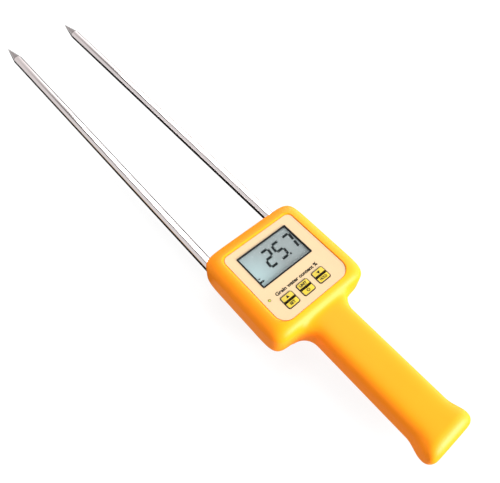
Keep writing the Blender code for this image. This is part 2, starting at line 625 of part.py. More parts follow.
def battery_set():
    half = BATTERY[0] / 2
    foot_y = BAY_FOOT_Y + GAP
    top_y = foot_y + BATTERY[1]
    low_z = DOOR_THICK + 2 * GAP
    middle = low_z + BATTERY[2] / 2
    outline = rounded_box((0, middle), (BATTERY[0], BATTERY[2]), (1.6 * MM,) * 4, 3)
    cell = plate("battery", outline, -BATTERY[1] / 2, BATTERY[1] / 2, BATTERY_WRAP)
    laid_down = Matrix.Rotation(math.radians(90), 4, "X")
    cell.data.transform(Matrix.Translation((0, (foot_y + top_y) / 2, 0)) @ laid_down)
    stud_x = 6.35 * MM
    for side, radius in ((-1, 2.9 * MM), (1, 3.7 * MM)):
        x = side * stud_x
        join(cell, rod(f"battery_stud_{side}", radius, (x, top_y - 1 * MM, middle),
                       (x, top_y + 2 * MM, middle), segments=18))
    clip_low = top_y + 2 * MM + GAP
    clip_half = 12.5 * MM
    clip_top = middle + 6 * MM
    block("battery_clip", (-clip_half, clip_low, middle - 6.5 * MM),
          (clip_half, BAY_TOP_Y - GAP, clip_top), BLACK)
    foam_half = 12 * MM
    block("battery_foam", (-foam_half, foot_y + 2 * MM, BAY_ROOF_Z - 0.7 * MM),
          (foam_half, top_y - 3 * MM, BAY_ROOF_Z - GAP), FOAM)
    for side, word, material in ((-1, "black", BLACK_WIRE), (1, "red", RED_WIRE)):
        start = Vector((side * 4 * MM, LEAD_Y, clip_top + GAP))
        end = Vector((side * 4 * MM, LEAD_Y, BOARD_Z - GAP))
        wire(f"battery_lead_{word}", start, end, 0.65 * MM, material)


def housing_screws():
    for number, place in enumerate(HOUSING_SCREWS):
        seat = Matrix.Translation(place)
        screw(f"housing_screw_{number + 1}", seat, SCREW_RADIUS, SCREW_HEAD, 1.9 * MM, SCREW_LENGTH)


# Forms that trim the pieces standing against the inside of the housing
holder_space = head_form("holder_space", WALL + GAP)
boss_space = head_form("boss_space", WALL / 2)

front_housing()
rear_housing()
battery_door()
fascia()
display_stack()
board()
keys()
lamp()
probes()
battery_set()
housing_screws()
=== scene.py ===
"""Looks of the grain moisture meter: fine pieces and finishes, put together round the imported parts.

Metres. +Y runs towards the probe tips, +X is the reader's right and +Z comes out of the face.
"""
import math

import bmesh
import bpy
from mathutils import Matrix, Vector
from mathutils.bvhtree import BVHTree


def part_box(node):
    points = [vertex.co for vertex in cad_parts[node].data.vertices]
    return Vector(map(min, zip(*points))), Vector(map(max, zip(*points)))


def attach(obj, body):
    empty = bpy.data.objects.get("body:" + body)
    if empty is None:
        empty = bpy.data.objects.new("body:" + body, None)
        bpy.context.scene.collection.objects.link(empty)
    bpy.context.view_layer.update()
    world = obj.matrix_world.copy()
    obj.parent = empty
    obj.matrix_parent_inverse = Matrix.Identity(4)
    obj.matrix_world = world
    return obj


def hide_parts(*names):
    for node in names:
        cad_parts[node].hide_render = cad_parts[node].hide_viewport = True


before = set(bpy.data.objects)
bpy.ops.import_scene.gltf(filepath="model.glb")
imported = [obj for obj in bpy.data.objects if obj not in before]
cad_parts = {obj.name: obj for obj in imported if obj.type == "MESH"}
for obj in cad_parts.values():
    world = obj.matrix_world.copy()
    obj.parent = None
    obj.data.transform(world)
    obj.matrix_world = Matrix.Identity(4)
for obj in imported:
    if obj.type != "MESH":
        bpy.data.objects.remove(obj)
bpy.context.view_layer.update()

# Outer form
# Both housings and the battery door are moulded to one skin: a head like a soft-cornered slab, with a flat
# handle that grows out of its foot in wide hollows and flares a little at its end.
MM = 0.001
head_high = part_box("front_housing")[1]
face_z = head_high.z
head_half_x = head_high.x
head_top_y = head_high.y
head_length = 72.4 * MM
head_mid_y = head_top_y - head_length / 2
head_foot_y = head_top_y - head_length
handle_end_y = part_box("front_housing")[0].y
wall = 2.2 * MM
gap = 0.3 * MM
seam_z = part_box("front_housing")[0].z - gap / 2
head_power = 9
handle_power = 4
face_round = (9 * MM, 8 * MM)
back_round = (12 * MM, 17 * MM)
handle_half_x = 14.2 * MM
handle_mid_z = 19 * MM
handle_half_z = 11 * MM
fillet = 11 * MM
flare = 3.2 * MM
flare_length = 13 * MM
end_round_side = 4 * MM
end_round_top = 9 * MM


def stack(form, power, turn, levels, segments=144):
    """A closed body drawn from one soft-cornered ring through each level's middle and half sizes."""
    ring = bmesh.ops.create_circle(form, segments=segments, radius=1)["verts"]
    for corner in ring:
        for axis in (0, 1):
            corner.co[axis] = math.copysign(abs(corner.co[axis]) ** (2 / power), corner.co[axis])
    rim = list({edge for corner in ring for edge in corner.link_edges})
    bmesh.ops.contextual_create(form, geom=rim)
    last = Matrix.Identity(4)
    for number, (middle, half_a, half_b) in enumerate(levels):
        if number:
            drawn = bmesh.ops.extrude_edge_only(form, edges=rim)["geom"]
            ring = [part for part in drawn if isinstance(part, bmesh.types.BMVert)]
            corners = set(ring)
            rim = [part for part in drawn if isinstance(part, bmesh.types.BMEdge)
                   and corners.issuperset(part.verts)]
        here = Matrix.Translation(middle) @ turn @ Matrix.Diagonal((half_a, half_b, 1, 1))
        bmesh.ops.transform(form, matrix=here @ last.inverted(), verts=ring)
        last = here
    bmesh.ops.contextual_create(form, geom=rim)


def add_head(form, inset, steps=14):
    """The head's slab, drawn in by inset on every side: tighter rounding at the face than at the back."""
    levels = []
    turns = [math.radians(90 * step / steps) for step in range(steps + 1)]
    rise = back_round[1] - inset
    drop = face_round[1] - inset / 2
    for angle in reversed(turns):
        levels.append((back_round[0] * (1 - math.cos(angle)), back_round[1] - rise * math.sin(angle)))
    for angle in turns:
        levels.append((face_round[0] * (1 - math.cos(angle)), face_z - inset - drop * (1 - math.sin(angle))))
    places = [((0, head_mid_y, z), head_half_x - inset - draw_in, head_length / 2 - inset - draw_in)
              for draw_in, z in levels]
    stack(form, head_power, Matrix.Identity(4), places)


def handle_half_at(y):
    """Half the handle's width: a hollow out of the head, then straight, then the flare."""
    from_head = head_foot_y - y
    if from_head < fillet:
        depth = min(fillet, fillet - from_head)
        return handle_half_x + fillet - math.sqrt(fillet ** 2 - depth ** 2)
    share = min(1, max(0, 1 - (y - handle_end_y - end_round_top / 2) / flare_length))
    return handle_half_x + flare * share * share * (3 - 2 * share)


def add_handle(form, inset):
    """The handle, drawn in by inset and rounded over at its end."""
    stations = [(head_foot_y + 14 * MM, 0, 1)]
    stations += [(head_foot_y - fillet * step / 16, 0, 1) for step in range(17)]
    flare_top = handle_end_y + end_round_top + flare_length
    stations += [(flare_top - flare_length * step / 12, 0, 1) for step in range(12)]
    for step in range(17):
        angle = math.radians(90 * step / 16)
        y = handle_end_y + end_round_top * (1 - math.sin(angle))
        side_share = min(1, max(0, (handle_end_y + end_round_side - y) / end_round_side))
        side_in = end_round_side * (1 - math.cos(math.asin(side_share)))
        stations.append((y, side_in, 1 - end_round_top / handle_half_z * (1 - math.cos(angle))))
    places = []
    for y, side_in, share in stations:
        inner_y = y + inset if y < head_foot_y - fillet else y
        places.append(((0, inner_y, handle_mid_z), handle_half_at(y) - inset - side_in,
                       (handle_half_z - inset) * share))
    stack(form, handle_power, Matrix.Rotation(math.radians(90), 4, "X"), places)


def part_from(form, name, smooth_below=35):
    """The form as an object, with normals out and round faces shaded smooth."""
    bmesh.ops.recalc_face_normals(form, faces=form.faces)
    mesh = bpy.data.meshes.new(name)
    form.to_mesh(mesh)
    form.free()
    mesh.shade_smooth()
    mesh.set_sharp_from_angle(angle=math.radians(smooth_below))
    thing = bpy.data.objects.new(name, mesh)
    bpy.context.scene.collection.objects.link(thing)
    return thing


def settle(thing, smooth_below=35):
    """Modifiers made part of the mesh, and the tools that they used removed."""
    bpy.context.view_layer.update()
    graph = bpy.context.evaluated_depsgraph_get()
    mesh = bpy.data.meshes.new_from_object(thing.evaluated_get(graph))
    tools = {step.object for step in thing.modifiers if step.type == "BOOLEAN"}
    thing.modifiers.clear()
    thing.data = mesh
    mesh.shade_smooth()
    mesh.set_sharp_from_angle(angle=math.radians(smooth_below))
    for tool in tools:
        bpy.data.objects.remove(tool, do_unlink=True)
    return thing


def ease_edges(thing, name, width):
    edge = thing.modifiers.new(name, "BEVEL")
    edge.width = width
    edge.segments = 2
    edge.limit_method = "ANGLE"
    return thing


def work(thing, operation, *tools):
    """Boolean steps on the piece, one for each tool."""
    for tool in tools:
        step = thing.modifiers.new(tool.name, "BOOLEAN")
        step.operation = operation
        step.solver = "MANIFOLD"
        step.object = tool
    return thing


def copy_of(thing, name):
    twin = thing.copy()
    twin.data = thing.data.copy()
    twin.name = name
    bpy.context.scene.collection.objects.link(twin)
    return twin


def one_skin(name, voxel, blend_rounds):
    """The head and the handle as one skin, true to form but for the worked hollow where they meet."""
    solids = []
    for add in (add_head, add_handle):
        form = bmesh.new()
        add(form, 0)
        solids.append(part_from(form, name))
    exact = settle(work(solids[0], "UNION", solids[1]))
    blank = copy_of(exact, name)
    melt = blank.modifiers.new("melt", "REMESH")
    melt.mode = "VOXEL"
    melt.voxel_size = voxel
    settle(blank)
    form = bmesh.new()
    form.from_mesh(exact.data)
    surface = BVHTree.FromBMesh(form)
    form.free()
    bpy.data.objects.remove(exact, do_unlink=True)
    form = bmesh.new()
    form.from_mesh(blank.data)
    reach_x = handle_half_x + 1.5 * fillet
    reach_y = 10 * MM
    inside = {corner: max(abs(corner.co.y - head_foot_y + 1 * MM) / reach_y, abs(corner.co.x) / reach_x)
              for corner in form.verts}
    hollow = [corner for corner, share in inside.items() if share < 1]
    for corners, times in ((form.verts[:], 3), (hollow, blend_rounds)):
        for _ in range(times):
            bmesh.ops.smooth_vert(form, verts=corners, factor=0.5, use_axis_x=True, use_axis_y=True,
                                  use_axis_z=True)
    for corner, share in inside.items():
        true_spot, normal, _, _ = surface.find_nearest(corner.co)
        weight = min(1, max(0, (share - 0.6) / 0.4))
        corner.co = corner.co.lerp(true_spot - normal * 0.01 * MM, weight)
    form.to_mesh(blank.data)
    form.free()
    return blank


skin = one_skin("skin", 0.7 * MM, 45)


# Moulded plastic
# The housings are orange ABS from a lightly sparked mould: a fine even grain, slow changes of tint where the
# melt cooled, and faint scuffs from handling.
def node(tree, kind, **settings):
    made = tree.nodes.new(kind)
    for key, value in settings.items():
        if hasattr(made, key) and key not in made.inputs:
            setattr(made, key, value)
        else:
            made.inputs[key].default_value = value
    return made


def reckon(tree, operation, *values, clamp=False):
    """A sum on sockets and numbers, which gives the socket with the answer."""
    made = node(tree, "ShaderNodeMath", operation=operation, use_clamp=clamp)
    for enter, value in zip(made.inputs, values):
        if isinstance(value, bpy.types.NodeSocket):
            tree.links.new(value, enter)
        else:
            enter.default_value = value
    return made.outputs[0]


def wear_group():
    """Blotches, grain and scuffs for any hard surface."""
    tree = bpy.data.node_groups.new("surface_wear", "ShaderNodeTree")
    face = tree.interface
    face.new_socket(name="Place", in_out="INPUT", socket_type="NodeSocketVector")
    for name, value in (("Blotch Scale", 45), ("Blotch Depth", 0.08), ("Grain Scale", 2600), ("Scuff", 0.3),
                        ("Roughness", 0.4), ("Roughness Spread", 0.1)):
        face.new_socket(name=name, in_out="INPUT", socket_type="NodeSocketFloat").default_value = value
    face.new_socket(name="Colour", in_out="INPUT", socket_type="NodeSocketColor")
    face.new_socket(name="Colour", in_out="OUTPUT", socket_type="NodeSocketColor")
    face.new_socket(name="Roughness", in_out="OUTPUT", socket_type="NodeSocketFloat")
    face.new_socket(name="Height", in_out="OUTPUT", socket_type="NodeSocketFloat")
    enter = tree.nodes.new("NodeGroupInput")
    leave = tree.nodes.new("NodeGroupOutput")
    link = tree.links.new

    blotch = node(tree, "ShaderNodeTexNoise", Detail=3.0, Roughness=0.55)
    link(enter.outputs["Place"], blotch.inputs["Vector"])
    link(enter.outputs["Blotch Scale"], blotch.inputs["Scale"])
    centred = reckon(tree, "SUBTRACT", blotch.outputs["Fac"], 0.5)
    tint = reckon(tree, "MULTIPLY_ADD", centred, enter.outputs["Blotch Depth"], 1.0)

    grain = node(tree, "ShaderNodeTexNoise", Detail=2.0, Roughness=0.6)
    link(enter.outputs["Place"], grain.inputs["Vector"])
    link(enter.outputs["Grain Scale"], grain.inputs["Scale"])

    lay = node(tree, "ShaderNodeMapping", Scale=(1.0, 0.09, 1.0), Rotation=(0.3, 0.2, 0.5))
    link(enter.outputs["Place"], lay.inputs["Vector"])
    scuff = node(tree, "ShaderNodeTexNoise", Scale=700.0, Detail=3.0, Distortion=0.4)
    link(lay.outputs["Vector"], scuff.inputs["Vector"])
    sharp = node(tree, "ShaderNodeMapRange", interpolation_type="SMOOTHSTEP")
    sharp.inputs["From Min"].default_value = 0.6
    sharp.inputs["From Max"].default_value = 0.74
    link(scuff.outputs["Fac"], sharp.inputs["Value"])
    mark = reckon(tree, "MULTIPLY", sharp.outputs["Result"], enter.outputs["Scuff"])

    shade = reckon(tree, "MULTIPLY_ADD", mark, -0.12, tint)
    paint = node(tree, "ShaderNodeVectorMath", operation="SCALE")
    link(enter.outputs["Colour"], paint.inputs[0])
    link(shade, paint.inputs["Scale"])
    link(paint.outputs["Vector"], leave.inputs["Colour"])

    uneven = reckon(tree, "MULTIPLY_ADD", centred, enter.outputs["Roughness Spread"],
                    enter.outputs["Roughness"])
    link(reckon(tree, "MULTIPLY_ADD", mark, 0.25, uneven, clamp=True), leave.inputs["Roughness"])
    link(reckon(tree, "MULTIPLY_ADD", mark, -0.6, grain.outputs["Fac"]), leave.inputs["Height"])
    return tree


surface_wear = wear_group()


def finish_of(name, colour, roughness, grain=2600, bump=0.02, blotch=0.08, scuff=0.3, spread=0.12,
              metallic=0.0, blotch_scale=45, specular=0.5, coat=0.0, alpha=1.0):
    """A hard finish, worn by the shared group."""
    material = bpy.data.materials.new(name)
    material.use_nodes = True
    tree = material.node_tree
    shader = tree.nodes["Principled BSDF"]
    wear = tree.nodes.new("ShaderNodeGroup")
    wear.node_tree = surface_wear
    place = tree.nodes.new("ShaderNodeTexCoord")
    tree.links.new(place.outputs["Object"], wear.inputs["Place"])
    for key, value in (("Blotch Scale", blotch_scale), ("Blotch Depth", blotch), ("Grain Scale", grain),
                       ("Scuff", scuff), ("Roughness", roughness), ("Roughness Spread", spread)):
        wear.inputs[key].default_value = value
    wear.inputs["Colour"].default_value = (*colour, 1)
    tree.links.new(wear.outputs["Colour"], shader.inputs["Base Color"])
    tree.links.new(wear.outputs["Roughness"], shader.inputs["Roughness"])
    relief = node(tree, "ShaderNodeBump", Strength=bump, Distance=0.0002)
    tree.links.new(wear.outputs["Height"], relief.inputs["Height"])
    tree.links.new(relief.outputs["Normal"], shader.inputs["Normal"])
    shader.inputs["Metallic"].default_value = metallic
    shader.inputs["Specular IOR Level"].default_value = specular
    shader.inputs["Coat Weight"].default_value = coat
    shader.inputs["Alpha"].default_value = alpha
    return material


def seat(thing, material, body, slot, *stands_for):
    """The piece takes its finish, unless it was made with its own, and its place on a body of the frame."""
    if not any(thing.data.materials):
        thing.data.materials.clear()
        thing.data.materials.append(material)
    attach(thing, body)
    if stands_for:
        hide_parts(*stands_for)
    return thing


orange_abs = finish_of("orange_abs", (0.98, 0.265, 0.004), 0.42, grain=3200, bump=0.035, blotch=0.06,
                       specular=0.16)


# Front housing
# The upper shell, with a shallow recess for the label and openings for the display, the keys and the lamp.
# Inside it has hollow posts that the housing screws and the board screws bite into.
def add_block(form, low, high):
    low = Vector(low)
    high = Vector(high)
    place = Matrix.Translation((low + high) / 2) @ Matrix.Diagonal((*(high - low), 1))
    return bmesh.ops.create_cube(form, size=1, matrix=place)["verts"]


def add_slab(form, low, high, foot_radius, top_radius=None, segments=8):
    """A block whose four upright edges are rounded, those towards the probes by their own radius."""
    corners = add_block(form, low, high)
    middle_y = (low[1] + high[1]) / 2
    upright = {edge for corner in corners for edge in corner.link_edges
               if abs(edge.verts[0].co.z - edge.verts[1].co.z) > 1e-7
               and (edge.verts[0].co.xy - edge.verts[1].co.xy).length < 1e-7}
    for edges, radius in (([edge for edge in upright if edge.verts[0].co.y < middle_y], foot_radius),
                          ([edge for edge in upright if edge.verts[0].co.y > middle_y],
                           top_radius or foot_radius)):
        bmesh.ops.bevel(form, geom=edges, offset=radius, segments=segments, profile=0.5, affect="EDGES",
                        material=-1)


def slab_tool(name, low, high, *radii):
    form = bmesh.new()
    add_slab(form, low, high, *radii)
    return part_from(form, name)


def rod_tool(name, radius, start, end, segments=32):
    along = Vector(end) - Vector(start)
    turn = Vector((0, 0, 1)).rotation_difference(along).to_matrix().to_4x4()
    form = bmesh.new()
    bmesh.ops.create_cone(form, cap_ends=True, segments=segments, radius1=radius, radius2=radius,
                          depth=along.length, matrix=Matrix.Translation((Vector(start) + Vector(end)) / 2)
                          @ turn)
    return part_from(form, name)


def upright_rod(name, radius, place, low_z, high_z, segments=32):
    return rod_tool(name, radius, (place.x, place.y, low_z), (place.x, place.y, high_z), segments)


def hollow_tools():
    """The room inside the walls of the head and the handle."""
    tools = []
    for name, add in (("head_hollow", add_head), ("handle_hollow", add_handle)):
        form = bmesh.new()
        add(form, wall)
        tools.append(part_from(form, name))
    return tools


def grown(corners, by):
    """A box's corners moved out, or in, by a margin across the face."""
    low, high = corners
    return (low.x - by, low.y - by), (high.x + by, high.y + by)


far = 300 * MM
over = 1 * MM
label_low, label_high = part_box("fascia_panel")
label_low.x += 0.5 * MM
label_high.y -= 0.6 * MM
frame_low, frame_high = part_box("display_frame")
screw_places = [(box_low + box_high) / 2 for box_low, box_high in
                (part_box(f"housing_screw_{number}") for number in range(1, 7))]
board_screw_places = [(box_low + box_high) / 2 for box_low, box_high in
                      (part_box(f"board_screw_{number}") for number in range(1, 5))]
lamp_place = sum(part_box("indicator_lens"), Vector()) / 2
label_room = 0.08 * MM
lip_reach = 2.2 * MM
lip_lean = 1.1 * MM
pair_names = (("up", "set"), ("unit", "power"), ("down", "hold"))
key_gap = 0.35 * MM


def probe_tools():
    """Tools for the round ways that the probes pass through."""
    tools = []
    for side in ("left", "right"):
        low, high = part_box(f"probe_{side}")
        radius = (high.x - low.x) / 2 + 0.12 * MM
        middle = (low + high) / 2
        tools.append(rod_tool(f"probe_way_{side}", radius, (middle.x, low.y - 7 * MM, middle.z),
                              (middle.x, head_top_y + 8 * MM, middle.z), 64))
    return tools


def label_recess():
    """A straight-sided seat for the label, and a mouth whose lip is widest at the left and top."""
    (low_x, low_y), (high_x, high_y) = grown((label_low, label_high), label_room)
    seat_tool = slab_tool("label_seat", (low_x, low_y, label_low.z - gap), (high_x, high_y, face_z),
                          8.1 * MM, 4.1 * MM, 12)
    form = bmesh.new()
    add_slab(form, (low_x, low_y, label_low.z + 0.1 * MM), (high_x, high_y, face_z + over), 8.1 * MM,
             4.1 * MM, 12)
    mouth = [corner for corner in form.verts if corner.co.z > face_z]
    middle = Vector(((low_x + high_x) / 2, (low_y + high_y) / 2, 0))
    spread = [1 + 2 * lip_reach / (high - low) for low, high in ((low_x, high_x), (low_y, high_y))]
    bmesh.ops.scale(form, vec=(*spread, 1), space=Matrix.Translation(-middle), verts=mouth)
    bmesh.ops.translate(form, vec=(-lip_lean, lip_lean, 0), verts=mouth)
    return seat_tool, part_from(form, "label_mouth")


def face_openings():
    """Tools for the openings that go through both the shell and the label."""
    low_z = face_z - 5 * MM
    high_z = face_z + 2 * MM
    display_low, display_high = grown((frame_low, frame_high), gap / 2)
    tools = [slab_tool("display_way", (*display_low, low_z), (*display_high, high_z), 0.9 * MM)]
    for upper, lower in pair_names:
        pair_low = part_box(f"key_{lower}")[0]
        pair_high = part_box(f"key_{upper}")[1]
        rim = 0.9 * MM
        key_low = (pair_low.x + rim - key_gap, pair_low.y - key_gap, low_z)
        key_high = (pair_high.x - rim + key_gap, pair_high.y + key_gap, high_z)
        tools.append(slab_tool(f"key_way_{upper}", key_low, key_high, 1.5 * MM))
    tools.append(upright_rod("lamp_way", 1 * MM, lamp_place, low_z, high_z))
    return tools


def front_shell():
    shell = copy_of(skin, "front_shell")
    below = slab_tool("below_seam", (-far, -far, -far), (far, far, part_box("front_housing")[0].z), 1 * MM)
    work(shell, "DIFFERENCE", *hollow_tools(), below)
    posts = []
    pilots = []
    for number, place in enumerate(screw_places):
        in_head = place.y > head_foot_y
        roof_z = face_z - wall + over if in_head else handle_mid_z + handle_half_z - over
        posts.append(upright_rod(f"post_{number}", 3.2 * MM, place, seam_z + gap / 2, roof_z))
        tip_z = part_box(f"housing_screw_{number + 1}")[1].z
        pilots.append(upright_rod(f"pilot_{number}", 1.5 * MM, place, 0, tip_z + over))
    board_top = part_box("circuit_board")[1].z
    for number, place in enumerate(board_screw_places):
        posts.append(upright_rod(f"board_post_{number}", 1.9 * MM, place, board_top + gap,
                                 face_z - wall + over))
        pilots.append(upright_rod(f"board_pilot_{number}", 1 * MM, place, board_top,
                                  face_z - wall - 0.8 * MM))
    work(shell, "UNION", *posts)
    work(shell, "DIFFERENCE", *pilots, *label_recess(), *face_openings(), *probe_tools())
    return settle(shell)


seat(front_shell(), orange_abs, "meter_body", "orange_plastic", "front_housing")


# Rear housing
# The lower shell. It has a box for the battery behind a wide opening, and sunk wells over posts for the
# six screws.
door_low, door_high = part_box("battery_door")
battery_low, battery_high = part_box("battery")
clip_high_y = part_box("battery_clip")[1].y
bay_wall = 1.5 * MM


def rear_shell():
    shell = copy_of(skin, "rear_shell")
    above = slab_tool("above_seam", (-far, -far, seam_z - gap / 2), (far, far, far), 1 * MM)
    work(shell, "DIFFERENCE", *hollow_tools(), above)
    bay_half = 14 * MM
    bay_foot_y = battery_low.y - gap
    bay_top_y = clip_high_y + gap
    roof_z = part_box("battery_foam")[1].z + gap
    bay_box = slab_tool("bay_box", (-bay_half - bay_wall, bay_foot_y - bay_wall, wall - 0.7 * MM),
                        (bay_half + bay_wall, bay_top_y + bay_wall, roof_z + bay_wall), 1 * MM)
    tools = [slab_tool("bay_room", (-bay_half, bay_foot_y, 1.5 * MM), (bay_half, bay_top_y, roof_z),
                       0.5 * MM)]
    opening_low, opening_high = grown((door_low, door_high), gap)
    tools.append(slab_tool("door_way", (*opening_low, -5 * MM), (*opening_high, door_high.z + gap),
                           2.3 * MM))
    posts = []
    for number, place in enumerate(screw_places):
        seat_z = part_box(f"housing_screw_{number + 1}")[0].z + 1.9 * MM
        in_head = place.y > head_foot_y
        foot_z = 2 * MM if in_head else handle_mid_z - handle_half_z + 1.2 * MM
        radius = 3.6 * MM if in_head else 4.6 * MM
        posts.append(upright_rod(f"post_{number}", radius, place, foot_z, seam_z - gap / 2))
        tools.append(upright_rod(f"well_{number}", 3.1 * MM, place, -over, seat_z + gap, 48))
        tools.append(upright_rod(f"pilot_{number}", 1.6 * MM, place, 0, seam_z + over))
    for name in ("battery_lead_red", "battery_lead_black"):
        lead_low, lead_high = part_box(name)
        middle = (lead_low + lead_high) / 2
        tools.append(upright_rod(f"way_{name}", 1.3 * MM, middle, roof_z - 3 * MM, roof_z + 5 * MM))
    work(shell, "UNION", bay_box, *posts)
    work(shell, "DIFFERENCE", *tools, *probe_tools())
    return settle(shell)


seat(rear_shell(), orange_abs, "meter_body", "orange_plastic", "rear_housing")


# Battery door
# A lid moulded to the same skin, which lies flush in the back and lifts straight off. Ribs near one end give
# the thumb a hold.
def door_panel():
    panel = copy_of(skin, "door_panel")
    keep = slab_tool("door_outline", (door_low.x, door_low.y, -5 * MM),
                     (door_high.x, door_high.y, door_high.z), 2 * MM)
    work(panel, "INTERSECT", keep)
    grooves = []
    for row in range(5):
        y = door_low.y + (10 + 2.2 * row) * MM
        groove = rod_tool(f"groove_{row}", 0.6 * MM, (-7 * MM, y, -0.1 * MM), (7 * MM, y, -0.1 * MM), 24)
        grooves.append(groove)
    work(panel, "DIFFERENCE", *grooves)
    return settle(panel)


seat(door_panel(), orange_abs, "door", "orange_plastic", "battery_door")
bpy.data.objects.remove(skin, do_unlink=True)


# Label
# A printed polycarbonate sheet, glued into the recess. It is cream with a faint mottle, and one line of
# print between the display and the keys says what the reading is.
cream_print = finish_of("cream_label", (0.50, 0.36, 0.20), 0.42, grain=1800, bump=0.02, blotch=0.10,
                        scuff=0.15, blotch_scale=120, specular=0.35)
print_ink = finish_of("print_ink", (0.012, 0.011, 0.009), 0.6, grain=3000, bump=0.01, scuff=0.1,
                      specular=0.05)
ink_high = 0.03 * MM


def label_sheet():
    sheet = slab_tool("label_sheet", label_low, label_high, 8 * MM, 4 * MM, 12)
    work(sheet, "DIFFERENCE", *face_openings())
    return ease_edges(settle(sheet), "worn_edge", 0.08 * MM)


seat(label_sheet(), cream_print, "meter_body", "cream_print", "fascia_panel")


def lettering(name, words, middle, width, height, z, weight=0.042):
    """A line of plain type as thin raised ink, fitted to a width and a height."""
    line = bpy.data.curves.new(name, "FONT")
    line.body = words
    line.extrude = 0.1
    line.offset = weight
    line.resolution_u = 3
    guide = bpy.data.objects.new(name, line)
    bpy.context.scene.collection.objects.link(guide)
    bpy.context.view_layer.update()
    type_mesh = bpy.data.meshes.new_from_object(guide.evaluated_get(bpy.context.evaluated_depsgraph_get()))
    bpy.data.objects.remove(guide, do_unlink=True)
    form = bmesh.new()
    form.from_mesh(type_mesh)
    bmesh.ops.remove_doubles(form, verts=form.verts, dist=1e-5)
    low = Vector(min(corner.co[axis] for corner in form.verts) for axis in range(3))
    high = Vector(max(corner.co[axis] for corner in form.verts) for axis in range(3))
    size = high - low
    fit = Matrix.Diagonal((width / size.x, height / size.y, ink_high / size.z, 1))
    bmesh.ops.transform(form, matrix=Matrix.Translation((*middle, z + ink_high / 2)) @ fit
                        @ Matrix.Translation(-(low + high) / 2), verts=form.verts)
    return part_from(form, name)


display_middle = (frame_low + frame_high) / 2
line_place = (display_middle.x - 0.8 * MM, display_middle.y - 20.5 * MM)
seat(lettering("reading_line", "Grain water content %", line_place, 33.8 * MM, 2.5 * MM, label_high.z),
     print_ink, "meter_body", "black_plastic")


# Display
# A black frame round a clear acrylic window, and under it the glass cell with its grey-green polariser. The
# dark segments of the reading stand on the cell.
frame_black = finish_of("frame_black", (0.006, 0.006, 0.006), 0.45, grain=3000, bump=0.02, specular=0.12)
rim_width = 0.8 * MM


def display_surround():
    form = bmesh.new()
    add_slab(form, frame_low, frame_high, 0.6 * MM, None, 4)
    surround = part_from(form, "display_surround")
    inner_low = (frame_low.x + rim_width, frame_low.y + rim_width, frame_low.z - over)
    inner_high = (frame_high.x - rim_width, frame_high.y - rim_width, frame_high.z + over)
    work(surround, "DIFFERENCE", slab_tool("surround_way", inner_low, inner_high, 0.3 * MM))
    return ease_edges(settle(surround), "soft_edge", 0.12 * MM)


seat(display_surround(), frame_black, "meter_body", "black_plastic", "display_frame")

window_clear = finish_of("window_clear", (0.05, 0.055, 0.055), 0.06, grain=900, bump=0.004, blotch=0.02,
                         scuff=0.2, spread=0.05, specular=0.2, alpha=0.05)
window_low, window_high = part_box("display_window")
window_low.z += 0.5 * MM
window_high.z += 0.1 * MM
window = ease_edges(slab_tool("window_pane", window_low, window_high, 0.25 * MM), "ground_edge", 0.15 * MM)
seat(window, window_clear, "meter_body", "clear_plastic", "display_window")


def wear_and_place(material):
    """The wear node and the coordinates of a finish."""
    return [next(made for made in material.node_tree.nodes if made.type == kind)
            for kind in ("GROUP", "TEX_COORD")]


def add_colour(material, share, colour):
    """A second colour laid over a finish where the share says so."""
    tree = material.node_tree
    mix = node(tree, "ShaderNodeMix", data_type="RGBA", blend_type="MIX")
    tree.links.new(share, mix.inputs["Factor"])
    tree.links.new(wear_and_place(material)[0].outputs["Colour"], mix.inputs[6])
    mix.inputs[7].default_value = (*colour, 1)
    tree.links.new(mix.outputs[2], tree.nodes["Principled BSDF"].inputs["Base Color"])
    return material


def cell_finish():
    """Grey-green cell, with a painted reflection that makes it paler and bluer towards its lower left, and
    the fine sparkle of its reflector.
    """
    material = finish_of("display_cell", (0.225, 0.26, 0.262), 0.5, grain=5200, bump=0.006, blotch=0.10,
                         scuff=0.0, blotch_scale=160, specular=0.15)
    tree = material.node_tree
    place = wear_and_place(material)[1]
    away = node(tree, "ShaderNodeVectorMath", operation="DISTANCE")
    away.inputs[1].default_value = (display_middle.x - 21 * MM, display_middle.y - 5 * MM, display_middle.z)
    tree.links.new(place.outputs["Object"], away.inputs[0])
    painted_reflection_share = node(tree, "ShaderNodeMapRange", interpolation_type="SMOOTHSTEP")
    painted_reflection_share.inputs["From Min"].default_value = 26 * MM
    painted_reflection_share.inputs["From Max"].default_value = 2 * MM
    tree.links.new(away.outputs["Value"], painted_reflection_share.inputs["Value"])
    # Painted reflection: a paler, bluer patch laid over the cell's own colour towards its lower left.
    return add_colour(material, painted_reflection_share.outputs["Result"], (0.31, 0.41, 0.42))


cell_top_z = window_low.z - 0.15 * MM


def display_cell():
    """The lower glass fills the holder, and the smaller upper glass stands up into the frame."""
    low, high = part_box("lcd_glass")
    form = bmesh.new()
    add_slab(form, low, (high.x, high.y, low.z + 1.2 * MM), 0.2 * MM, None, 2)
    cell = part_from(form, "display_cell")
    upper_low = (frame_low.x + rim_width + 0.1 * MM, frame_low.y + rim_width + 0.1 * MM, low.z + 1 * MM)
    upper_high = (frame_high.x - rim_width - 0.1 * MM, frame_high.y - rim_width - 0.1 * MM, cell_top_z)
    work(cell, "UNION", slab_tool("upper_glass", upper_low, upper_high, 0.2 * MM))
    return settle(cell)


seat(display_cell(), cell_finish(), "meter_body", "display_glass", "lcd_glass")

SEGMENTS_LIT = {"2": "abged", "5": "afgcd", "7": "abc"}
digit_width = 7.3 * MM
digit_height = 13.4 * MM
stroke = 1.75 * MM
lean = math.radians(7)


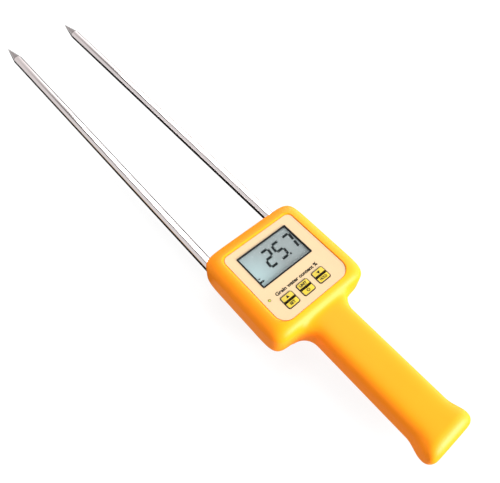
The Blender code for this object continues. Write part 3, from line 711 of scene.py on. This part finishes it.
def add_bar(form, middle, length, upright):
    """One lit segment: a bar with pointed ends."""
    face = bmesh.ops.create_circle(form, segments=6, radius=1, cap_ends=True)["verts"]
    for corner in face:
        side = math.copysign(1, corner.co.x)
        at_point = abs(corner.co.x) > 0.9
        corner.co.x = side * (length / 2 - (0 if at_point else stroke / 2))
        corner.co.y = 0 if at_point else math.copysign(stroke / 2, corner.co.y)
    turn = Matrix.Rotation(math.radians(90 if upright else 0), 4, "Z")
    bmesh.ops.transform(form, matrix=Matrix.Translation((*middle, 0)) @ turn, verts=face)
    return face


def raise_ink(form, z, thickness=ink_high):
    """Flat ink given its thickness, with its underside at z."""
    drawn = bmesh.ops.extrude_face_region(form, geom=form.faces[:])["geom"]
    raised = [part for part in drawn if isinstance(part, bmesh.types.BMVert)]
    bmesh.ops.translate(form, vec=(0, 0, thickness), verts=raised)
    bmesh.ops.translate(form, vec=(0, 0, z), verts=form.verts)


def digit_bars(form, digit, middle):
    """The lit segments of one digit."""
    half_x = (digit_width - stroke) / 2
    half_y = (digit_height - stroke) / 2
    spots = {"a": (0, half_y, False), "g": (0, 0, False), "d": (0, -half_y, False),
             "b": (half_x, half_y / 2, True),
             "c": (half_x, -half_y / 2, True), "f": (-half_x, half_y / 2, True),
             "e": (-half_x, -half_y / 2, True)}
    trim = 0.25 * MM
    for letter in SEGMENTS_LIT[digit]:
        x, y, upright = spots[letter]
        length = half_y - trim if upright else 2 * half_x - trim
        bar = add_bar(form, (x, y), length + stroke / 2, upright)
        bmesh.ops.translate(form, vec=(*middle, 0), verts=bar)


def add_level_mark(form, middle):
    """A small battery sign: a body with its stud, and a bar above it."""
    for x, y, width, height in ((0, 0, 2.6, 1.3), (1.6, 0, 0.6, 0.7), (-0.4, 2.4, 1.4, 0.7)):
        mark = bmesh.ops.create_grid(form, x_segments=1, y_segments=1, size=0.5)["verts"]
        place = Matrix.Translation((middle[0] + x * MM, middle[1] + y * MM, 0))
        bmesh.ops.transform(form, matrix=place @ Matrix.Diagonal((width * MM, height * MM, 1, 1)),
                            verts=mark)


def reading():
    form = bmesh.new()
    middle_y = 0.9 * MM
    for number, digit in enumerate("257"):
        digit_bars(form, digit, ((-3.4 + 8.9 * number) * MM, middle_y))
    bmesh.ops.create_circle(form, segments=12, radius=0.75 * MM, cap_ends=True,
                            matrix=Matrix.Translation((9.9 * MM, middle_y - digit_height / 2 + 0.6 * MM, 0)))
    add_level_mark(form, (-16.6 * MM, -8.6 * MM))
    for corner in form.verts:
        corner.co.x += math.tan(lean) * (corner.co.y - middle_y)
    bmesh.ops.translate(form, vec=(display_middle.x, display_middle.y, 0), verts=form.verts)
    raise_ink(form, cell_top_z + 0.01 * MM)
    return part_from(form, "reading_digits")


segment_black = finish_of("segment_black", (0.008, 0.012, 0.013), 0.6, grain=4000, bump=0.01, scuff=0.0,
                          specular=0.05)
seat(reading(), segment_black, "meter_body", "display_glass")


# Keys
# Six moulded caps in three pairs, yellow, with a dark edge that is partly a printed border and partly painted
# shade of the gap round each cap; their sides carry the same painted shade. Each has a flange that keeps it
# in and a stem on its switch, and a printed legend.
key_yellow = finish_of("key_yellow", (0.50, 0.37, 0.024), 0.42, grain=2800, bump=0.03, blotch=0.08,
                       scuff=0.25, specular=0.25)
# The dark edge colour: partly printed border, partly painted shade where the gap round each cap falls dark.
key_print_and_gap_shade = finish_of("key_print_and_gap_shade", (0.05, 0.026, 0.008), 0.5, grain=2800, bump=0.02)
key_top_z = face_z - 0.1 * MM


def key_cap(word, row):
    """A cap rounded most at its pair's outer corners. The upper cap is row 0."""
    low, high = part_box(f"key_{word}")
    side = 0.9 * MM
    middle = (low + high) / 2
    half_y = 2.05 * MM
    cap_low = (low.x + side, middle.y - half_y, high.z - 3 * MM)
    crown = 0.06 * MM
    cap_high = (high.x - side, middle.y + half_y, key_top_z - crown)
    outer, inner = 1.3 * MM, 0.3 * MM
    form = bmesh.new()
    add_slab(form, cap_low, cap_high, *((outer, inner) if row else (inner, outer)), 6)
    top = [face for face in form.faces if face.normal.z > 0.9]
    # The sides and an outer band of the top take the dark edge: partly printed border, partly painted shade
    # of the gap.
    for face in form.faces:
        face.material_index = 1
    bmesh.ops.inset_region(form, faces=top, thickness=0.36 * MM, depth=0.0)
    for face in top:
        face.material_index = 0
    bmesh.ops.inset_region(form, faces=top, thickness=0.25 * MM, depth=crown)
    cap = part_from(form, f"cap_{word}")
    cap.data.materials.append(key_yellow)
    cap.data.materials.append(key_print_and_gap_shade)
    flange = slab_tool("flange", (low.x, cap_low[1] + 0.1 * MM, 31.4 * MM),
                       (high.x, cap_high[1] - 0.1 * MM, 32.3 * MM), 0.2 * MM)
    stem = upright_rod("stem", 0.8 * MM, middle, low.z, 31.9 * MM, 20)
    return settle(work(cap, "UNION", flange, stem))


for upper, lower in pair_names:
    for row, word in enumerate((upper, lower)):
        seat(key_cap(word, row), key_yellow, f"{word}_key", "yellow_key", f"key_{word}")


def arrow(name, middle, up):
    form = bmesh.new()
    turn = Matrix.Rotation(math.radians(0 if up else 180), 4, "Z")
    bmesh.ops.create_circle(form, segments=3, radius=1.3 * MM, cap_ends=True,
                            matrix=Matrix.Translation((middle[0], middle[1], 0)) @ turn)
    raise_ink(form, key_top_z)
    return part_from(form, name)


def power_mark(name, middle):
    """An open ring with a bar through its gap."""
    form = bmesh.new()
    inner, outer = 0.65 * MM, 1.15 * MM
    ends = [form.verts.new((0, radius, 0)) for radius in (inner, outer)]
    spoke = form.edges.new(ends)
    open_turn = Matrix.Rotation(math.radians(-38), 4, "Z")
    bmesh.ops.transform(form, matrix=open_turn, verts=ends)
    bmesh.ops.spin(form, geom=[*ends, spoke], cent=(0, 0, 0), axis=(0, 0, 1), angle=math.radians(-284),
                   steps=24)
    bar = bmesh.ops.create_grid(form, x_segments=1, y_segments=1, size=0.5)["verts"]
    bmesh.ops.transform(form, matrix=Matrix.Translation((0, 0.85 * MM, 0))
                        @ Matrix.Diagonal((0.4 * MM, 1.1 * MM, 1, 1)), verts=bar)
    bmesh.ops.translate(form, vec=(*middle, 0), verts=form.verts)
    raise_ink(form, key_top_z)
    return part_from(form, name)


for word in ("up", "down", "set", "unit", "hold", "power"):
    middle = sum(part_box(f"key_{word}"), Vector()) / 2
    name = f"legend_{word}"
    if word in ("up", "down"):
        legend = arrow(name, (middle.x, middle.y), word == "up")
    elif word == "power":
        legend = power_mark(name, (middle.x, middle.y))
    else:
        legend = lettering(name, word.upper(), (middle.x, middle.y), 1.35 * MM * len(word), 1.9 * MM,
                           key_top_z)
    seat(legend, print_ink, f"{word}_key", "black_plastic")


# Lamp
# A small olive lens pressed into the face over the lamp on the board.
lens_olive = finish_of("lens_olive", (0.36, 0.36, 0.02), 0.22, grain=1500, bump=0.01, scuff=0.1, coat=0.4)


def add_turned(form, profile, steps=48):
    """A profile of (radius, height) from one end to the other, spun about the upright axis."""
    corners = [form.verts.new((radius, 0, height)) for radius, height in profile]
    edges = [form.edges.new(pair) for pair in zip(corners, corners[1:])]
    bmesh.ops.spin(form, geom=corners + edges, cent=(0, 0, 0), axis=(0, 0, 1), angle=math.radians(360),
                   steps=steps, use_merge=True)
    bmesh.ops.remove_doubles(form, verts=form.verts, dist=1e-6)


def turned_piece(name, profile, place, steps=48):
    form = bmesh.new()
    add_turned(form, profile, steps)
    bmesh.ops.transform(form, matrix=place, verts=form.verts)
    return part_from(form, name)


def dome(radius, height, top, steps=6):
    """Points of a low dome, from its crown down to its rim."""
    return [(radius * math.sin(math.radians(90 * step / steps)),
             top - height * (1 - math.cos(math.radians(90 * step / steps)))) for step in range(steps + 1)]


lens_low, lens_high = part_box("indicator_lens")
lens = turned_piece("lamp_lens",
                    dome(0.8 * MM, 0.5 * MM, lens_high.z) + [(0.8 * MM, lens_low.z), (0, lens_low.z)],
                    Matrix.Translation((lamp_place.x, lamp_place.y, 0)), 32)
seat(lens, lens_olive, "meter_body", "lamp_lens", "indicator_lens")


# Probes
# Two thin stainless tubes, drawn and polished along their length, with turned points pressed into their ends.
def steel_finish(name, colour, roughness):
    """Bright steel with fine draw lines along the tube and a slow cloudiness."""
    material = finish_of(name, colour, roughness, grain=1400, bump=0.006, blotch=0.06, scuff=0.2,
                         spread=0.06, metallic=1.0, blotch_scale=90)
    tree = material.node_tree
    wear, place = wear_and_place(material)
    relief = next(made for made in tree.nodes if made.type == "BUMP")
    lay = node(tree, "ShaderNodeMapping", Scale=(1.0, 0.012, 1.0))
    tree.links.new(place.outputs["Object"], lay.inputs["Vector"])
    lines = node(tree, "ShaderNodeTexNoise", Scale=5200.0, Detail=3.0)
    tree.links.new(lay.outputs["Vector"], lines.inputs["Vector"])
    both = reckon(tree, "ADD", lines.outputs["Fac"], wear.outputs["Height"])
    tree.links.new(both, relief.inputs["Height"])
    return material


probe_steel = steel_finish("probe_steel", (0.82, 0.755, 0.75), 0.08)
probe_wall = 0.5 * MM
for side in ("left", "right"):
    low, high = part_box(f"probe_{side}")
    middle = (low + high) / 2
    radius = (high.x - low.x) / 2
    along = Matrix.Translation((middle.x, 0, middle.z)) @ Matrix.Rotation(math.radians(-90), 4, "X")
    inner = radius - probe_wall
    ease = 0.15 * MM
    tube = [(inner, high.y), (radius - ease, high.y), (radius, high.y - ease), (radius, low.y + ease),
            (radius - ease, low.y), (inner, low.y), (inner, high.y)]
    seat(turned_piece(f"tube_{side}", tube, along, 96), probe_steel, "meter_body", "probe_steel",
         f"probe_{side}")
    tip_low, tip_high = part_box(f"probe_tip_{side}")
    cone_y = high.y + gap
    blunt = 0.3 * MM
    point = [(0, tip_high.y), (blunt * 0.7, tip_high.y - blunt * 0.3), (blunt, tip_high.y - blunt),
             (radius, cone_y), (inner - gap, cone_y), (inner - gap, tip_low.y), (0, tip_low.y)]
    seat(turned_piece(f"point_{side}", point, along, 96), probe_steel, "meter_body", "probe_steel",
         f"probe_tip_{side}")


# Housing screws
# Six zinc-plated thread-forming screws with low domed heads and a cross recess, sunk in the back.
screw_zinc = finish_of("screw_zinc", (0.56, 0.56, 0.55), 0.32, grain=2000, bump=0.02, blotch=0.15,
                       metallic=1.0)
for number in range(1, 7):
    low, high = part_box(f"housing_screw_{number}")
    middle = (low + high) / 2
    head_radius = (high.x - low.x) / 2
    seat_z = 1.9 * MM
    shaft = 1.3 * MM
    length = high.z - low.z
    root = 0.74 * shaft
    profile = [(0, length), (0.6 * shaft, length), (shaft, length - shaft)]
    pitch = 1.1 * MM
    for turn in range(int((length - seat_z - 2 * shaft) / pitch)):
        z = length - shaft - pitch * turn
        profile += [(root, z - 0.35 * pitch), (shaft, z - 0.85 * pitch), (shaft, z - pitch)]
    profile += [(root, seat_z), (head_radius, seat_z)]
    profile += [(r, seat_z * 0.6 - z) for r, z in reversed(dome(head_radius, seat_z * 0.6, seat_z * 0.6))]
    screw = turned_piece(f"screw_{number}", profile, Matrix.Translation((middle.x, middle.y, low.z)), 40)
    for slot in range(2):
        form = bmesh.new()
        size = (2.6 * MM, 0.6 * MM, 1.2 * MM)
        turn = Matrix.Rotation(math.radians(90 * slot + 25 * number), 4, "Z")
        bmesh.ops.create_cube(form, size=1,
                              matrix=Matrix.Translation((middle.x, middle.y, low.z + 0.4 * MM)) @ turn
                              @ Matrix.Diagonal((*size, 1)))
        work(screw, "DIFFERENCE", part_from(form, f"slot_{number}_{slot}"))
    seat(settle(screw), screw_zinc, "meter_body", "screw_steel", f"housing_screw_{number}")


# Battery
# A nine volt block in a plain printed steel jacket, rolled over at both ends, with two snap studs.
def jacket_finish():
    material = finish_of("battery_jacket", (0.03, 0.05, 0.11), 0.28, grain=1200, bump=0.015, blotch=0.1,
                         coat=0.3)
    tree = material.node_tree
    place = wear_and_place(material)[1]
    apart = node(tree, "ShaderNodeSeparateXYZ")
    tree.links.new(place.outputs["Object"], apart.inputs[0])
    band = reckon(tree, "GREATER_THAN", apart.outputs["Y"], battery_high.y - 15 * MM)
    return add_colour(material, band, (0.5, 0.5, 0.48))


def battery_block():
    top_y = battery_high.y - 2 * MM
    form = bmesh.new()
    add_block(form, battery_low, (battery_high.x, top_y, battery_high.z))
    long_edges = [edge for edge in form.edges if abs(edge.verts[0].co.y - edge.verts[1].co.y) > over]
    bmesh.ops.bevel(form, geom=long_edges, offset=1.6 * MM, segments=5, profile=0.5, affect="EDGES",
                    material=-1)
    ends = [face for face in form.faces if abs(face.normal.y) > 0.9]
    bmesh.ops.inset_individual(form, faces=ends, thickness=0.7 * MM, depth=0.0)
    bmesh.ops.inset_individual(form, faces=ends, thickness=0.1 * MM, depth=-0.5 * MM)
    block = part_from(form, "battery_block")
    middle_z = (battery_low.z + battery_high.z) / 2
    studs = []
    for side, radius in ((-1, 2.9 * MM), (1, 3.7 * MM)):
        x = side * 6.35 * MM
        studs.append(rod_tool(f"stud_{side}", radius, (x, top_y - 1.5 * MM, middle_z),
                              (x, battery_high.y, middle_z)))
    return settle(work(block, "UNION", *studs))


seat(battery_block(), jacket_finish(), "meter_body", "battery_case", "battery")


# Parts inside
# The board and what stands on it, the display's holder and strips, the probe fittings, the clip, the foam
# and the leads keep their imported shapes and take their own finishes.
def board_finish():
    """Green lacquer over copper tracks, which show as paler lines in a grid."""
    material = finish_of("board_lacquer", (0.01, 0.13, 0.045), 0.3, grain=1600, bump=0.02, blotch=0.15,
                         coat=0.3)
    tree = material.node_tree
    place = wear_and_place(material)[1]
    tracks = node(tree, "ShaderNodeTexBrick", Scale=1.0)
    for key, value in (("Mortar Size", 0.00018), ("Brick Width", 0.005), ("Row Height", 0.0013),
                       ("Bias", 0.0)):
        tracks.inputs[key].default_value = value
    tree.links.new(place.outputs["Object"], tracks.inputs["Vector"])
    return add_colour(material, tracks.outputs["Fac"], (0.05, 0.3, 0.1))


white_plastic = finish_of("white_plastic", (0.7, 0.69, 0.64), 0.45)
contact_rubber = finish_of("contact_rubber", (0.07, 0.07, 0.075), 0.75, grain=1500, bump=0.05)
chip_black = finish_of("chip_black", (0.02, 0.02, 0.021), 0.55, grain=3500, bump=0.05)
tinned_brass = finish_of("tinned_brass", (0.72, 0.64, 0.46), 0.3, blotch=0.15, metallic=1.0)
lead_black = finish_of("lead_black", (0.018, 0.018, 0.018), 0.42)
lead_red = finish_of("lead_red", (0.5, 0.02, 0.012), 0.42)
foam_grey = finish_of("foam_grey", (0.06, 0.06, 0.062), 0.95, grain=900, bump=0.5, blotch=0.3, scuff=0.0)
sleeve_blue = finish_of("capacitor_sleeve", (0.02, 0.04, 0.12), 0.35)
lamp_clear = finish_of("lamp_clear", (0.75, 0.8, 0.7), 0.12, bump=0.005, blotch=0.03)
board_green = board_finish()
inside = {
    "circuit_board": board_green, "controller_chip": chip_black, "crystal": screw_zinc,
    "capacitor": sleeve_blue,
    "lcd_holder": white_plastic, "lcd_reflector": white_plastic, "contact_strip": contact_rubber,
    "switch": chip_black, "status_led": lamp_clear, "probe_plug": tinned_brass,
    "probe_holder": white_plastic,
    "ring_terminal": tinned_brass, "terminal_screw": screw_zinc, "board_screw": screw_zinc,
    "probe_lead": lead_black,
    "battery_clip": chip_black, "battery_foam": foam_grey, "battery_lead_red": lead_red,
    "battery_lead_black": lead_black,
}
for name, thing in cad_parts.items():
    if thing.hide_render:
        continue
    thing.data.materials.clear()
    thing.data.materials.append(next(finish for start, finish in inside.items() if name.startswith(start)))


# Studio
# A white floor in a soft white room that is brighter on the right, one broad low lamp past the handle's end,
# a weaker one overhead, and two dark cards by the probes that only polished metal picks up.
def studio_floor():
    form = bmesh.new()
    bmesh.ops.create_grid(form, x_segments=1, y_segments=1, size=4)
    floor = part_from(form, "floor")
    floor.visible_diffuse = False
    floor.visible_glossy = False
    material = finish_of("floor_white", (0.12, 0.12, 0.12), 0.8, grain=400, bump=0.0, blotch=0.01, scuff=0.0,
                         specular=0.0)
    shader = material.node_tree.nodes["Principled BSDF"]
    shader.inputs["Emission Color"].default_value = (1, 1, 1, 1)
    shader.inputs["Emission Strength"].default_value = 0.88
    floor.data.materials.append(material)


def studio_cards():
    """A black card under the probes and a grey one ahead of them, which only polished surfaces pick up."""
    probe_low, probe_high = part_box("probe_left")[0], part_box("probe_right")[1]
    near_y = probe_high.y + 45 * MM
    cards = {"card_black": (0.01, (probe_low.x - 60 * MM, head_top_y - 2 * MM),
                            (probe_high.x + 26 * MM, near_y)),
             "card_grey": (0.3, (-1, near_y + over), (1, 2.5))}
    for name, (level, low, high) in cards.items():
        form = bmesh.new()
        add_block(form, (*low, 0.2 * MM), (*high, 0.6 * MM))
        card = part_from(form, name)
        card.visible_camera = False
        card.visible_diffuse = False
        card.visible_shadow = False
        card.data.materials.append(finish_of(name, (level, level, level), 0.9, grain=400, bump=0.0,
                                             specular=0.0))


def studio_room():
    """The room's brightness by direction: round from right over the top to left, and dimmer far ahead."""
    world = bpy.data.worlds.new("room")
    world.use_nodes = True
    tree = world.node_tree
    sky = tree.nodes["Background"]
    place = node(tree, "ShaderNodeTexCoord")
    apart = node(tree, "ShaderNodeSeparateXYZ")
    tree.links.new(place.outputs["Generated"], apart.inputs[0])
    round_angle = reckon(tree, "ARCTAN2", apart.outputs["Z"], apart.outputs["X"])
    share = node(tree, "ShaderNodeMapRange")
    share.inputs["From Min"].default_value = -math.pi
    share.inputs["From Max"].default_value = math.pi
    tree.links.new(round_angle, share.inputs["Value"])
    ramp = node(tree, "ShaderNodeValToRGB")
    tree.links.new(share.outputs["Result"], ramp.inputs["Fac"])
    stops = ((-180, 0.42), (-14, 0.42), (-8, 1.9), (38, 1.9), (46, 0.6), (70, 0.6), (76, 0.04), (110, 0.04),
             (117, 0.42), (160, 0.48), (180, 0.48))
    while len(ramp.color_ramp.elements) < len(stops):
        ramp.color_ramp.elements.new(0.5)
    for element, (angle, level) in zip(ramp.color_ramp.elements, stops):
        warmth = (1, 0.72, 0.45) if angle < -10 else (1, 1, 1)
        element.position = (angle + 180) / 360
        element.color = (*(level * share for share in warmth), 1)
    far_ahead = node(tree, "ShaderNodeMapRange", interpolation_type="SMOOTHSTEP")
    dimming = node(tree, "ShaderNodeMapRange")
    for ease, ends in ((far_ahead, (0.70, 0.84, 0, 1)), (dimming, (0.86, 0.93, 1.8, 0.9))):
        for key, value in zip(("From Min", "From Max", "To Min", "To Max"), ends):
            ease.inputs[key].default_value = value
        tree.links.new(apart.outputs["Y"], ease.inputs["Value"])
    even = node(tree, "ShaderNodeMix", data_type="RGBA", blend_type="MIX")
    tree.links.new(far_ahead.outputs["Result"], even.inputs["Factor"])
    tree.links.new(ramp.outputs["Color"], even.inputs[6])
    even.inputs[7].default_value = (0.46, 0.44, 0.44, 1)
    tree.links.new(even.outputs[2], sky.inputs["Color"])
    tree.links.new(dimming.outputs["Result"], sky.inputs["Strength"])
    bpy.context.scene.world = world


def studio_lamp(name, towards, strength, spread):
    lamp = bpy.data.lights.new(name, "SUN")
    lamp.energy = strength
    lamp.angle = math.radians(spread)
    holder = bpy.data.objects.new(name, lamp)
    holder.rotation_mode = "QUATERNION"
    holder.rotation_quaternion = Vector(towards).to_track_quat("Z", "Y")
    bpy.context.scene.collection.objects.link(holder)


def studio_camera():
    lens = bpy.data.cameras.new("camera")
    lens.sensor_width = 36
    lens.lens = 34.52
    lens.clip_start = 0.01
    camera = bpy.data.objects.new("camera", lens)
    place = Vector((-0.11289, -0.19320, 0.28888))
    aim = Vector((-0.00574, -0.07516, 0.035))
    camera.rotation_mode = "QUATERNION"
    tilt = Matrix.Rotation(math.radians(1.74), 3, "Z").to_quaternion()
    camera.rotation_quaternion = (aim - place).to_track_quat("-Z", "Y") @ tilt
    camera.location = place
    bpy.context.scene.collection.objects.link(camera)
    bpy.context.scene.camera = camera


studio_floor()
studio_cards()
studio_room()
studio_lamp("key_lamp", (0.33, -0.90, 0.28), 7.0, 28)
studio_lamp("top_lamp", (0.25, 0.45, 0.86), 1.8, 40)
studio_camera()
bpy.context.scene.view_settings.view_transform = "Standard"
